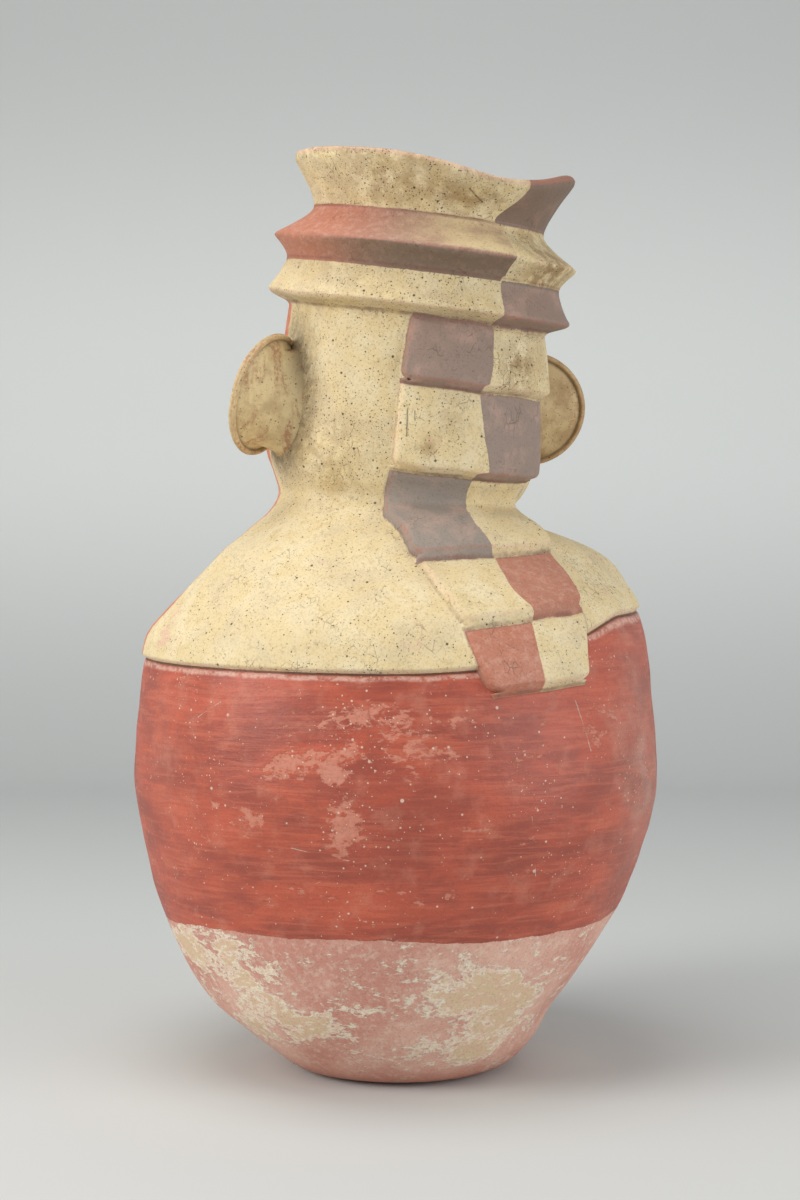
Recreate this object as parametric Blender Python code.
"""A hand-built head jar of fired clay, about 0.4 m tall.

An egg-shaped body carries a neck shaped as a head that leans back. The head wears two sharp ridges under a
flaring open rim, an upright disc stands at each ear, and a band of overlapping lappets hangs down the back.
The jar is one hollow wall of clay. Its front faces -Y, its left side +X, and it stands on a small flat at z = 0.

The wall is worked out upright first. A place on it is an angle round the jar, 0 at the front and 90 degrees at
its left side, and a level above the floor. Relief is then added along the surface's own outward direction, and
the neck is bent back last.
"""

import math

import bmesh
import bpy
import numpy as np

# Body, in metres
BODY_HEIGHT = 0.249
BODY_RADIUS = 0.1155
BASE_RADIUS = 0.0380
NECK_RADIUS = 0.0515
WALL = 0.0065
FLOOR_THICKNESS = 0.008

# Outline of the body: share of its height, share of its radius
BODY_OUTLINE = (
    (0.011, 0.420),
    (0.036, 0.492),
    (0.080, 0.583),
    (0.196, 0.765),
    (0.339, 0.911),
    (0.535, 1.000),
    (0.750, 0.966),
    (0.821, 0.902),
    (0.892, 0.831),
    (0.928, 0.680),
    (0.964, 0.520),
    (0.986, 0.466),
)
# Depth of each level as a share of its width: the shoulders are flattened front and back
BODY_FLATNESS = (
    (0.000, 1.000),
    (0.430, 1.000),
    (0.640, 0.955),
    (0.785, 0.905),
    (0.821, 0.860),
    (0.857, 0.770),
    (0.882, 0.685),
    (0.928, 0.800),
    (0.964, 0.920),
    (1.000, 1.000),
)
# The body isn't true: each level's centre lies off the axis, as a share of the radius, along one bearing
BODY_DRIFT_BEARING = math.radians(238)
BODY_DRIFT = (
    (0.000, 0.015),
    (0.036, 0.008),
    (0.136, -0.045),
    (0.277, -0.023),
    (0.430, 0.000),
    (0.750, 0.018),
    (0.821, 0.053),
    (0.892, 0.094),
    (0.928, 0.048),
    (0.964, -0.005),
    (1.000, 0.000),
)

# Head, from the neck up to the headdress
HEAD_HEIGHT = 0.0808
JAW_SHARE = 0.223
JAW_RADIUS = 0.0587
BROW_RADIUS = 0.0560
LEAN_BACK = math.radians(10.3)
LEAN_SIDE = math.radians(1.7)
LEAN_REACH = 0.009

# Headdress: two ridges and a flaring rim
LOWER_RIDGE_RISE = 0.0037
LOWER_RIDGE_RADIUS = 0.0672
VALLEY_RISE = 0.0150
VALLEY_RADIUS = 0.0596
UPPER_RIDGE_RISE = 0.0093
UPPER_RIDGE_RADIUS = 0.0676
COLLAR_RISE = 0.0134
COLLAR_RADIUS = 0.0502
RIM_RISE = 0.0224
RIM_RADIUS = 0.0619
RIM_FLARE = 1.5
RIDGE_FLARE = 1.45
LIP = 0.0036
RIM_DIP = 0.0075
RIM_DIP_WIDTH = math.radians(30)
RIM_TILT = 0.0018
RIM_TILT_BEARING = math.radians(238)
COLLAR_WALL = 0.0047
INNER_SWELL = 0.0035

# Painted cape: its hem is a low step that isn't level, at a share of the body's height
HEM_SHARE = 0.763
HEM_STEP = 0.0018
HEM_DROP = 0.0010
HEM_BELOW = 0.036
HEM_ABOVE = 0.028
# Bearing in degrees, and how far the hem lies above or below its level there
HEM_RUN = (
    (0, -0.0045),
    (66, -0.0087),
    (149, -0.0128),
    (163, -0.0118),
    (191, -0.0004),
    (214, 0.0094),
    (250, 0.0115),
    (300, 0.0010),
    (360, -0.0045),
)

# Lappets down the back: place of each lower edge from the top one down, and how far that edge stands out.
# A place is a share of the body's height from 0 to 1, and of the head's height from 1 to 2.
LAPPETS = (
    (1.6572, 0.0056),
    (1.2104, 0.0056),
    (0.8815, 0.0050),
    (0.8020, 0.0044),
    (0.6819, 0.0042),
)
LAPPET_TOP_THICKNESS = 0.0012
LAPPET_UNDERCUT = 0.0024
LAPPET_BEVEL = 0.0016
# The band of lappets at a place: half its width, and the bearing of its middle in degrees
BAND_RUN = (
    (0.6819, 0.0213, 178.5),
    (0.8020, 0.0275, 178.4),
    (0.8815, 0.0325, 175.0),
    (0.9839, 0.0360, 177.5),
    (1.2104, 0.0390, 181.0),
    (1.6572, 0.0390, 183.3),
    (2.0000, 0.0375, 183.3),
)

# Ear discs
DISC_RADIUS = 0.0265
DISC_EDGE = 0.0033
DISC_BEVEL = 0.0008
DISC_DISH = 0.0022
DISC_BORDER = 0.0050
DISC_DISH_SLOPE = 0.0015
DISC_BACK = 0.0060
DISC_FROM_JAW = 0.0101
DISC_FORWARD = 0.0051
DISC_SHARE = 0.536
DISC_UNEVEN = 0.0027
DISC_TURN = math.radians(33)
DISC_PITCH = math.radians(5)
DISC_ROOT_RADIUS = 0.0150
DISC_ROOT_BEARING = math.radians(97)
DISC_ROOT_DEPTH = 0.0030
DISC_DISH_FLAT_SHARE = 0.75
DISC_DISH_KNEE_SHARE = 0.8
DISC_SHOULDER_SHARE = 0.92
DISC_SHOULDER_DEPTH_SHARE = 0.17
DISC_BACK_SHARE = 0.72
DISC_NECK_SHARE = 0.45
DISC_SIDES = 28

LOW_BODY_SHARES = (0, 0.011, 0.036, 0.08, 0.13, 0.2, 0.27, 0.34, 0.42, 0.5, 0.57, 0.63)
INNER_BODY_SHARES = (1.0, 0.964, 0.928, 0.892, 0.85, 0.79, 0.7, 0.6, 0.5, 0.38, 0.27, 0.17, 0.09, 0.036, 0.0)
FLOOR_SHARE = 0.02
SHOULDER_ROWS = 5
NECK_ROWS = 4
RIM_ROWS = 4
LONG_PART_COUNT = 3
SHORT_PART_COUNT = 2

# Face, of a plain standard design: levels above the neck from the head's height, then sizes across the face
CHIN_LEVEL = 0.241 * HEAD_HEIGHT
LOWER_LIP_LEVEL = 0.354 * HEAD_HEIGHT
MOUTH_LEVEL = 0.384 * HEAD_HEIGHT
UPPER_LIP_LEVEL = 0.413 * HEAD_HEIGHT
NOSE_BASE_LEVEL = 0.501 * HEAD_HEIGHT
NOSE_TIP_LEVEL = 0.551 * HEAD_HEIGHT
EYE_LEVEL = 0.718 * HEAD_HEIGHT
BROW_LEVEL = 0.829 * HEAD_HEIGHT
EYE_APART = 0.0190
EYE_HALF_WIDTH = 0.0126
EYE_HALF_HEIGHT = 0.0062
EYE_OUT = 0.0022
NOSE_OUT = 0.0115
NOSE_TOP_OUT = 0.0030
NOSE_HALF_WIDTH = 0.0099
BRIDGE_HALF_WIDTH = 0.0072
NOSTRIL_APART = 0.0068
NOSTRIL_RADIUS = 0.0046
NOSTRIL_OUT = 0.0054
MOUTH_HALF_WIDTH = 0.0140
LOWER_LIP_HALF_WIDTH = 0.0119
LIP_HALF_HEIGHT = 0.0033
LIP_OUT = 0.0028
CHIN_HALF_WIDTH = 0.026
CHIN_HALF_HEIGHT = 0.013
CHIN_OUT = 0.0048
BROW_HALF_WIDTH = 0.0178
BROW_HALF_HEIGHT = 0.0050
BROW_DROOP = 0.12
BROW_OUT = 0.0020

# Grid of the wall
FACE_SPREAD = math.radians(48)
FACE_COLUMNS = 12
SIDE_COLUMNS = 12

CLAY_COLOUR = (0.56, 0.26, 0.17, 1.0)
CLAY_ROUGHNESS = 0.72

# Levels that follow from the sizes above
NECK_LEVEL = BODY_HEIGHT
HEM_LEVEL = HEM_SHARE * BODY_HEIGHT
RIDGE_FOOT_LEVEL = NECK_LEVEL + HEAD_HEIGHT
LOWER_RIDGE_LEVEL = RIDGE_FOOT_LEVEL + LOWER_RIDGE_RISE
VALLEY_LEVEL = LOWER_RIDGE_LEVEL + VALLEY_RISE
UPPER_RIDGE_LEVEL = VALLEY_LEVEL + UPPER_RIDGE_RISE
COLLAR_LEVEL = UPPER_RIDGE_LEVEL + COLLAR_RISE
RIM_LEVEL = COLLAR_LEVEL + RIM_RISE
DISC_LEVEL = NECK_LEVEL + DISC_SHARE * HEAD_HEIGHT


def smooth_step(x):
    """0 below 0, 1 above 1, and a smooth rise between."""
    x = np.clip(x, 0.0, 1.0)
    return x * x * (3 - 2 * x)


def smooth_curve(points, x):
    """A cubic through (place, value) points that never overshoots them, for a whole array of places."""
    place, value = np.array(points, float).T
    step = np.diff(place)
    slope = np.diff(value) / step
    tangent = np.concatenate(([slope[0]], np.zeros(len(step) - 1), [slope[-1]]))
    before, after = slope[:-1], slope[1:]
    turning = before * after <= 0
    safe_before = np.where(turning, 1.0, before)
    safe_after = np.where(turning, 1.0, after)
    weight_before = 2 * step[1:] + step[:-1]
    weight_after = step[1:] + 2 * step[:-1]
    mean = (weight_before + weight_after) / (weight_before / safe_before + weight_after / safe_after)
    tangent[1:-1] = np.where(turning, 0.0, mean)
    x = np.clip(x, place[0], place[-1])
    k = np.clip(np.searchsorted(place, x, side="right") - 1, 0, len(step) - 1)
    t = (x - place[k]) / step[k]
    start = value[k] * (1 + 2 * t) * (1 - t) ** 2 + step[k] * tangent[k] * t * (1 - t) ** 2
    end = value[k + 1] * t * t * (3 - 2 * t) + step[k] * tangent[k + 1] * t * t * (t - 1)
    return start + end


def angle_from(angle, middle):
    """Signed angle from a bearing, between -pi and pi."""
    return (angle - middle + math.pi) % (2 * math.pi) - math.pi


def level_at(place):
    """Level of a place, which counts body heights up to 1 and head heights from there."""
    return BODY_HEIGHT * min(place, 1.0) + HEAD_HEIGHT * max(place - 1.0, 0.0)


def lappet_edges():
    """Level and thickness of each lappet's lower edge, from the top one down."""
    return [(level_at(place), thickness) for place, thickness in LAPPETS]


def body_half_width(level):
    """Half the body's width at a level."""
    outline = [(0.0, BASE_RADIUS / BODY_RADIUS), *BODY_OUTLINE, (1.0, NECK_RADIUS / BODY_RADIUS)]
    return BODY_RADIUS * smooth_curve(outline, level / BODY_HEIGHT)


def flare(level, thin_level, thin_radius, wide_level, wide_radius, power):
    """Radius between a hollow and a crest: it leaves the hollow gently and reaches the crest steeply."""
    share = np.clip((level - thin_level) / (wide_level - thin_level), 0, 1)
    return thin_radius + (wide_radius - thin_radius) * share**power


def head_radius(level):
    """Radius of the head, the two ridges and the rim at a level above the neck."""
    head = smooth_curve(
        [
            (NECK_LEVEL, NECK_RADIUS),
            (NECK_LEVEL + JAW_SHARE * HEAD_HEIGHT, JAW_RADIUS),
            (RIDGE_FOOT_LEVEL, BROW_RADIUS),
        ],
        level,
    )
    under = flare(level, RIDGE_FOOT_LEVEL, BROW_RADIUS, LOWER_RIDGE_LEVEL, LOWER_RIDGE_RADIUS, 1.0)
    lower = flare(level, VALLEY_LEVEL, VALLEY_RADIUS, LOWER_RIDGE_LEVEL, LOWER_RIDGE_RADIUS, RIDGE_FLARE)
    upper = flare(level, VALLEY_LEVEL, VALLEY_RADIUS, UPPER_RIDGE_LEVEL, UPPER_RIDGE_RADIUS, RIDGE_FLARE)
    above = flare(level, COLLAR_LEVEL, COLLAR_RADIUS, UPPER_RIDGE_LEVEL, UPPER_RIDGE_RADIUS, RIDGE_FLARE)
    rim = flare(level, COLLAR_LEVEL, COLLAR_RADIUS, RIM_LEVEL, RIM_RADIUS, RIM_FLARE)
    return np.select(
        [
            level < RIDGE_FOOT_LEVEL,
            level < LOWER_RIDGE_LEVEL,
            level < VALLEY_LEVEL,
            level < UPPER_RIDGE_LEVEL,
            level < COLLAR_LEVEL,
        ],
        [head, under, lower, upper, above],
        rim,
    )


def section(angle, level):
    """Point of the bare upright wall: an ellipse at each level, with its centre a little off the axis."""
    in_body = level < NECK_LEVEL
    share = level / BODY_HEIGHT
    half_width = np.where(in_body, body_half_width(level), head_radius(level))
    flatness = smooth_curve(BODY_FLATNESS, share)
    drift = BODY_RADIUS * smooth_curve(BODY_DRIFT, share)
    radius = half_width / np.sqrt(np.sin(angle) ** 2 + (np.cos(angle) / flatness) ** 2)
    x = radius * np.sin(angle) + drift * math.sin(BODY_DRIFT_BEARING)
    y = -radius * np.cos(angle) - drift * math.cos(BODY_DRIFT_BEARING)
    return x, y


def hem_slope(angle, level):
    """How far a level near the hem rises or falls round the jar, as the hem does."""
    rise = smooth_step((level - HEM_LEVEL + HEM_BELOW) / HEM_BELOW)
    fade = 1 - smooth_step((level - HEM_LEVEL) / HEM_ABOVE)
    return smooth_curve(HEM_RUN, np.degrees(angle) % 360) * rise * fade


def rim_wave(angle, level):
    """How far the rim dips at the back and tilts to one side."""
    dip = -RIM_DIP * np.exp(-((angle_from(angle, math.pi) / RIM_DIP_WIDTH) ** 2))
    tilt = RIM_TILT * np.cos(angle - RIM_TILT_BEARING)
    return (dip + tilt) * smooth_step((level - COLLAR_LEVEL) / RIM_RISE)


def wall_point(angle, level):
    """Upright wall without relief, as an array of points."""
    height = level + hem_slope(angle, level)
    x, y = section(angle, height)
    return np.stack([x, y, height + rim_wave(angle, level)], axis=-1)


def wall_outward(angle, level):
    """Unit direction out of the upright wall, from small steps along it."""
    step_angle, step_level = 0.01, 0.0005
    along = wall_point(angle + step_angle, level) - wall_point(angle - step_angle, level)
    low, high = np.maximum(level - step_level, 0), np.minimum(level + step_level, RIM_LEVEL)
    up = wall_point(angle, high) - wall_point(angle, low)
    out = np.cross(along, up)
    return out / np.linalg.norm(out, axis=-1, keepdims=True)


def band_half_width(level):
    """Half the width of the band of lappets along the surface."""
    return smooth_curve([(level_at(place), width) for place, width, _ in BAND_RUN], level)


def band_middle(level):
    """Bearing of the middle of the band, which wanders a little on its way down."""
    return np.radians(smooth_curve([(level_at(place), bearing) for place, _, bearing in BAND_RUN], level))


def band_half_angle(level):
    """Half the angle that the lappets take round the jar."""
    held = np.clip(level, lappet_edges()[-1][0] - LAPPET_UNDERCUT, RIDGE_FOOT_LEVEL)
    back = section(np.full_like(held, math.pi), held)[1]
    return band_half_width(held) / back


def lappets(angle, level):
    """Height of the lappets: each thickens down to its lower edge, which is undercut."""
    edges = lappet_edges()
    top = RIDGE_FOOT_LEVEL
    height = np.zeros_like(level)
    for edge, thickness in edges:
        share = np.clip((top - level) / (top - edge), 0, 1)
        ramp = LAPPET_TOP_THICKNESS + (thickness - LAPPET_TOP_THICKNESS) * share
        height = np.where((level <= top) & (level >= edge), ramp, height)
        top = edge
    for number, (edge, thickness) in enumerate(edges):
        foot = 0.0 if number == len(edges) - 1 else LAPPET_TOP_THICKNESS
        share = np.clip((edge - level) / LAPPET_UNDERCUT, 0, 1)
        under = thickness + (foot - thickness) * share
        height = np.where((level < edge) & (level > edge - LAPPET_UNDERCUT), under, height)
    half = band_half_angle(level)
    from_edge = (half - np.abs(angle_from(angle, band_middle(level)))) / half * band_half_width(level)
    return height * np.clip(from_edge / LAPPET_BEVEL, 0, 1)


def hem(level):
    """Height of the cape above the bare body below it."""
    cape = np.clip((level - HEM_LEVEL + HEM_DROP) / HEM_DROP, 0, 1)
    return HEM_STEP * cape * (1 - smooth_step((level - HEM_LEVEL) / HEM_ABOVE))


def mound(across, along, half_across, half_along):
    """A soft round mound: 1 in the middle, 0 at its oval edge."""
    far = np.sqrt((across / half_across) ** 2 + (along / half_along) ** 2)
    return 1 - smooth_step(far)


def face(angle, level):
    """Height of the face: brow, eyes, nose, lips and chin."""
    across = angle_from(angle, 0.0) * JAW_RADIUS
    aside = np.abs(across)
    up = level - NECK_LEVEL
    along_nose = np.clip((BROW_LEVEL - up) / (BROW_LEVEL - NOSE_TIP_LEVEL), 0, 1)
    nose_half = BRIDGE_HALF_WIDTH + (NOSE_HALF_WIDTH - BRIDGE_HALF_WIDTH) * along_nose
    nose_out = NOSE_TOP_OUT + (NOSE_OUT - NOSE_TOP_OUT) * along_nose
    nose_end = smooth_step((up - NOSE_BASE_LEVEL) / (NOSE_TIP_LEVEL - NOSE_BASE_LEVEL))
    nose_top = 1 - smooth_step((up - BROW_LEVEL) / (HEAD_HEIGHT - BROW_LEVEL))
    nose = nose_out * (1 - smooth_step(aside / nose_half)) * nose_end * nose_top
    nostril = NOSTRIL_OUT * mound(aside - NOSTRIL_APART, up - NOSE_TIP_LEVEL, NOSTRIL_RADIUS, NOSTRIL_RADIUS)
    eye = EYE_OUT * mound(aside - EYE_APART, up - EYE_LEVEL, EYE_HALF_WIDTH, EYE_HALF_HEIGHT)
    brow_line = BROW_LEVEL - BROW_DROOP * np.abs(aside - EYE_APART)
    brow = BROW_OUT * mound(aside - EYE_APART, up - brow_line, BROW_HALF_WIDTH, BROW_HALF_HEIGHT)
    upper_lip = mound(across, up - UPPER_LIP_LEVEL, MOUTH_HALF_WIDTH, LIP_HALF_HEIGHT)
    lower_lip = mound(across, up - LOWER_LIP_LEVEL, LOWER_LIP_HALF_WIDTH, LIP_HALF_HEIGHT)
    lips = LIP_OUT * np.maximum(upper_lip, lower_lip)
    chin = CHIN_OUT * mound(across, up - CHIN_LEVEL, CHIN_HALF_WIDTH, CHIN_HALF_HEIGHT)
    return np.maximum(nose, nostril) + eye + brow + lips + chin


def relief(angle, level):
    """All the relief on the wall, as a height along its outward direction."""
    on_head = level > NECK_LEVEL
    on_face = np.where(on_head & (level < RIDGE_FOOT_LEVEL), face(angle, level), 0.0)
    back = np.where(level < RIDGE_FOOT_LEVEL, lappets(angle, level), 0.0)
    cape = np.where(back > 0, 0.0, np.where(on_head, 0.0, hem(level)))
    return on_face + cape + back


def lean(points):
    """Bends the neck: below it nothing moves, above it the head leans back and a little to one side."""
    x, y, z = np.moveaxis(points, -1, 0)
    above = z - NECK_LEVEL
    share = np.clip((above + LEAN_REACH) / (2 * LEAN_REACH), 0, 1)
    turn = smooth_step(share)
    run = 2 * LEAN_REACH * (share**3 - share**4 / 2) + np.maximum(above - LEAN_REACH, 0)
    back, side = LEAN_BACK * turn, LEAN_SIDE * turn
    new_x = x * np.cos(side) - run * math.sin(LEAN_SIDE)
    new_y = y * np.cos(back) + run * math.sin(LEAN_BACK)
    shorter = (1 - math.cos(LEAN_BACK)) * run
    new_z = z - shorter - y * np.sin(back) + x * np.sin(side)
    return np.stack([new_x, new_y, new_z], axis=-1)


def column_angles(levels):
    """Angles of the grid's columns at each level: close together on the face, and along the lappets' edges."""
    held = np.clip(levels, lappet_edges()[-1][0], RIDGE_FOOT_LEVEL)
    half = band_half_angle(held)[:, None]
    middle = band_middle(held)[:, None]
    inside = half * (1 - LAPPET_BEVEL / band_half_width(held)[:, None])
    face_side = np.linspace(0, FACE_SPREAD, FACE_COLUMNS + 1)[None, :] + 0 * half
    steps = np.linspace(0, 1, SIDE_COLUMNS + 1)[None, 1:-1]
    left_side = FACE_SPREAD + (middle - half - FACE_SPREAD) * steps
    right_side = middle + half + (2 * math.pi - FACE_SPREAD - middle - half) * steps
    band = middle + half * np.array([[-1.0, 0.0, 0.0, 0.0, 0.0, 0.0, 1.0]])
    band[:, 1:6] += inside * np.array([[-1.0, -0.5, 0.0, 0.5, 1.0]])
    return np.concatenate([face_side, left_side, band, right_side, 2 * math.pi - face_side[:, :0:-1]], axis=1)


def between(start, end, parts):
    """Levels that part a stretch evenly, without its ends."""
    return [start + (end - start) * k / parts for k in range(1, parts)]


def outer_levels():
    """Levels of the grid's rows up the outside, with a pair at each edge of the relief."""
    low_body = [BODY_HEIGHT * share for share in LOW_BODY_SHARES]
    lower_edges = [edge for edge, _ in lappet_edges()]
    edges = lower_edges + [edge - LAPPET_UNDERCUT for edge in lower_edges]
    hem_rows = [HEM_LEVEL - HEM_DROP, HEM_LEVEL, *between(lower_edges[4], HEM_LEVEL, SHORT_PART_COUNT)]
    shoulder = between(lower_edges[3], lower_edges[2], SHORT_PART_COUNT)
    neck = between(lower_edges[2], NECK_LEVEL, SHOULDER_ROWS)
    neck += between(NECK_LEVEL, NECK_LEVEL + CHIN_LEVEL, NECK_ROWS)
    face_rows = [CHIN_LEVEL, LOWER_LIP_LEVEL, MOUTH_LEVEL, UPPER_LIP_LEVEL, NOSE_BASE_LEVEL, NOSE_TIP_LEVEL]
    face_rows += [EYE_LEVEL, BROW_LEVEL, *between(CHIN_LEVEL, LOWER_LIP_LEVEL, SHORT_PART_COUNT)]
    face_rows += between(UPPER_LIP_LEVEL, NOSE_BASE_LEVEL, SHORT_PART_COUNT)
    face_rows += between(NOSE_TIP_LEVEL, EYE_LEVEL, LONG_PART_COUNT)
    face_rows += between(EYE_LEVEL, BROW_LEVEL, SHORT_PART_COUNT)
    face_rows += between(BROW_LEVEL, HEAD_HEIGHT, LONG_PART_COUNT)
    crests = [RIDGE_FOOT_LEVEL, LOWER_RIDGE_LEVEL, VALLEY_LEVEL, UPPER_RIDGE_LEVEL, COLLAR_LEVEL, RIM_LEVEL]
    curves = between(LOWER_RIDGE_LEVEL, VALLEY_LEVEL, SHORT_PART_COUNT)
    curves += between(VALLEY_LEVEL, UPPER_RIDGE_LEVEL, SHORT_PART_COUNT)
    curves += between(UPPER_RIDGE_LEVEL, COLLAR_LEVEL, SHORT_PART_COUNT)
    curves += between(COLLAR_LEVEL, RIM_LEVEL, RIM_ROWS)
    head = [NECK_LEVEL, *[NECK_LEVEL + level for level in face_rows], *crests, *curves]
    return np.array(sorted(low_body + edges + hem_rows + shoulder + neck + head))


def outer_grid():
    """Rows of points up the outside of the jar."""
    levels = outer_levels()
    angles = column_angles(levels)
    level_grid = levels[:, None] + 0 * angles
    points = wall_point(angles, level_grid)
    points += wall_outward(angles, level_grid) * relief(angles, level_grid)[..., None]
    points[0, :, 2] = 0.0
    return lean(points)


def inner_grid():
    """Rows of points down the inside, from the lip to the edge of the floor."""
    angles = column_angles(np.full(1, BODY_HEIGHT))
    head_levels = np.array([RIM_LEVEL, COLLAR_LEVEL + 0.5 * RIM_RISE, COLLAR_LEVEL, LOWER_RIDGE_LEVEL])
    head_levels = np.append(head_levels, NECK_LEVEL + HEAD_HEIGHT * np.array([0.6, 0.25]))
    inner_collar = COLLAR_RADIUS - COLLAR_WALL
    radii = smooth_curve(
        [
            (NECK_LEVEL, NECK_RADIUS - WALL),
            (NECK_LEVEL + 0.5 * HEAD_HEIGHT, JAW_RADIUS - WALL),
            (LOWER_RIDGE_LEVEL, inner_collar + INNER_SWELL),
            (COLLAR_LEVEL, inner_collar),
            (COLLAR_LEVEL + 0.5 * RIM_RISE, inner_collar + INNER_SWELL),
            (RIM_LEVEL, RIM_RADIUS - LIP),
        ],
        head_levels,
    )[:, None]
    head_heights = head_levels[:, None] + rim_wave(angles, head_levels[:, None])
    head = np.stack([radii * np.sin(angles), -radii * np.cos(angles), head_heights], axis=-1)
    shares = np.array(INNER_BODY_SHARES)
    body_levels = BODY_HEIGHT * shares[:, None] + 0 * angles
    body_angles = angles + 0 * body_levels
    x, y = section(body_angles, body_levels)
    bare = np.stack([x, y, body_levels], axis=-1)
    thickness = np.where(shares < FLOOR_SHARE, FLOOR_THICKNESS, WALL)[:, None, None]
    body = bare - wall_outward(body_angles, body_levels) * thickness
    body[-1, :, 2] = FLOOR_THICKNESS
    return lean(np.concatenate([head, body]))


def lip_row():
    """The top of the rim, midway between its outer and inner edges."""
    angles = column_angles(np.full(1, RIM_LEVEL))[0]
    radius = RIM_RADIUS - 0.5 * LIP
    height = RIM_LEVEL + 0.4 * LIP + rim_wave(angles, np.full_like(angles, RIM_LEVEL))
    return lean(np.stack([radius * np.sin(angles), -radius * np.cos(angles), height], axis=-1))


def add_rows(mesh, rows):
    """Adds rings of vertices to the mesh, and joins each ring to the next with faces."""
    rings = [[mesh.verts.new(point) for point in row] for row in rows]
    for lower, upper in zip(rings[:-1], rings[1:]):
        for k in range(len(lower)):
            n = (k + 1) % len(lower)
            mesh.faces.new((lower[k], lower[n], upper[n], upper[k]))
    return rings


def close_ring(mesh, ring, middle, turned):
    """Closes a ring with a fan of triangles round its middle."""
    centre = mesh.verts.new(middle)
    for k in range(len(ring)):
        pair = (ring[k], ring[(k + 1) % len(ring)])
        mesh.faces.new((centre, *(pair[::-1] if turned else pair)))


def new_object(name, mesh, material):
    """Makes a named object with smooth shading from a finished bmesh."""
    bmesh.ops.recalc_face_normals(mesh, faces=mesh.faces)
    data = bpy.data.meshes.new(name)
    mesh.to_mesh(data)
    mesh.free()
    data.materials.append(material)
    data.shade_smooth()
    data.set_sharp_from_angle(angle=math.radians(40))
    thing = bpy.data.objects.new(name, data)
    bpy.context.scene.collection.objects.link(thing)
    return thing


def make_wall(material):
    """The hollow wall of the jar: outside, lip, inside and the two faces of the floor."""
    mesh = bmesh.new()
    rows = np.concatenate([outer_grid(), lip_row()[None], inner_grid()])
    rings = add_rows(mesh, rows)
    close_ring(mesh, rings[0], (0, 0, 0), turned=True)
    close_ring(mesh, rings[-1], (0, 0, FLOOR_THICKNESS), turned=False)
    return new_object("head_jar", mesh, material)


def disc_rows(side):
    """Rings of one ear disc, from its dished front over its edge and down its back into the head."""
    turn = np.linspace(0, 2 * math.pi, DISC_SIDES, endpoint=False)
    level_out = np.array([side * math.sin(DISC_TURN), -math.cos(DISC_TURN), 0.0])
    across = np.array([side * math.cos(DISC_TURN), math.sin(DISC_TURN), 0.0])
    out = math.cos(DISC_PITCH) * level_out + np.array([0.0, 0.0, math.sin(DISC_PITCH)])
    upward = side * np.cross(out, across)
    disc_level = DISC_LEVEL - side * DISC_UNEVEN
    middle = np.array([side * (JAW_RADIUS + DISC_FROM_JAW), -DISC_FORWARD, disc_level])
    ring_of = np.cos(turn)[:, None] * across + np.sin(turn)[:, None] * upward
    dish_radius = DISC_RADIUS - DISC_BORDER
    profile = [
        (DISC_DISH_FLAT_SHARE * dish_radius, -DISC_DISH),
        (dish_radius - DISC_DISH_SLOPE, -DISC_DISH_KNEE_SHARE * DISC_DISH),
        (dish_radius, 0.0),
        (DISC_RADIUS - DISC_BEVEL, 0.0),
        (DISC_RADIUS, -DISC_BEVEL),
        (DISC_RADIUS, -DISC_EDGE),
        (DISC_SHOULDER_SHARE * DISC_RADIUS, -DISC_EDGE - DISC_SHOULDER_DEPTH_SHARE * DISC_BACK),
        (DISC_BACK_SHARE * DISC_RADIUS, -DISC_EDGE - DISC_BACK),
    ]
    rows = [middle + radius * ring_of + depth * out for radius, depth in profile]
    root_angle = side * (DISC_ROOT_BEARING + DISC_ROOT_RADIUS * np.cos(turn) / JAW_RADIUS)
    root_level = disc_level + DISC_ROOT_RADIUS * np.sin(turn)
    root_radius = head_radius(root_level) - DISC_ROOT_DEPTH
    root = np.stack([root_radius * np.sin(root_angle), -root_radius * np.cos(root_angle), root_level], axis=-1)
    neck = DISC_NECK_SHARE * rows[-1] + (1 - DISC_NECK_SHARE) * root
    return middle - DISC_DISH * out, lean(np.array([*rows, neck, root]))


def make_disc(side, material):
    """One ear disc as a closed solid whose root lies inside the head's wall."""
    mesh = bmesh.new()
    front, rows = disc_rows(side)
    rings = add_rows(mesh, rows)
    close_ring(mesh, rings[0], lean(front[None])[0], turned=True)
    close_ring(mesh, rings[-1], rows[-1].mean(axis=0), turned=False)
    return new_object("ear_disc_cutter", mesh, material)


def fuse(body, extra):
    """Joins a second solid to the first and deletes it."""
    union = body.modifiers.new("fuse", "BOOLEAN")
    union.operation = "UNION"
    union.object = extra
    bpy.context.view_layer.objects.active = body
    bpy.ops.object.modifier_apply(modifier=union.name)
    bpy.data.objects.remove(extra)


def clay():
    """Fired clay."""
    material = bpy.data.materials.new("fired_clay")
    material.use_nodes = True
    shader = material.node_tree.nodes["Principled BSDF"]
    shader.inputs["Base Color"].default_value = CLAY_COLOUR
    shader.inputs["Roughness"].default_value = CLAY_ROUGHNESS
    shader.inputs["Metallic"].default_value = 0.0
    return material


def main():
    """Makes the jar in an empty scene."""
    for thing in list(bpy.data.objects):
        bpy.data.objects.remove(thing)
    material = clay()
    jar = make_wall(material)
    for side in (1, -1):
        fuse(jar, make_disc(side, material))
    jar.data.shade_smooth()
    jar.data.set_sharp_from_angle(angle=math.radians(40))


main()
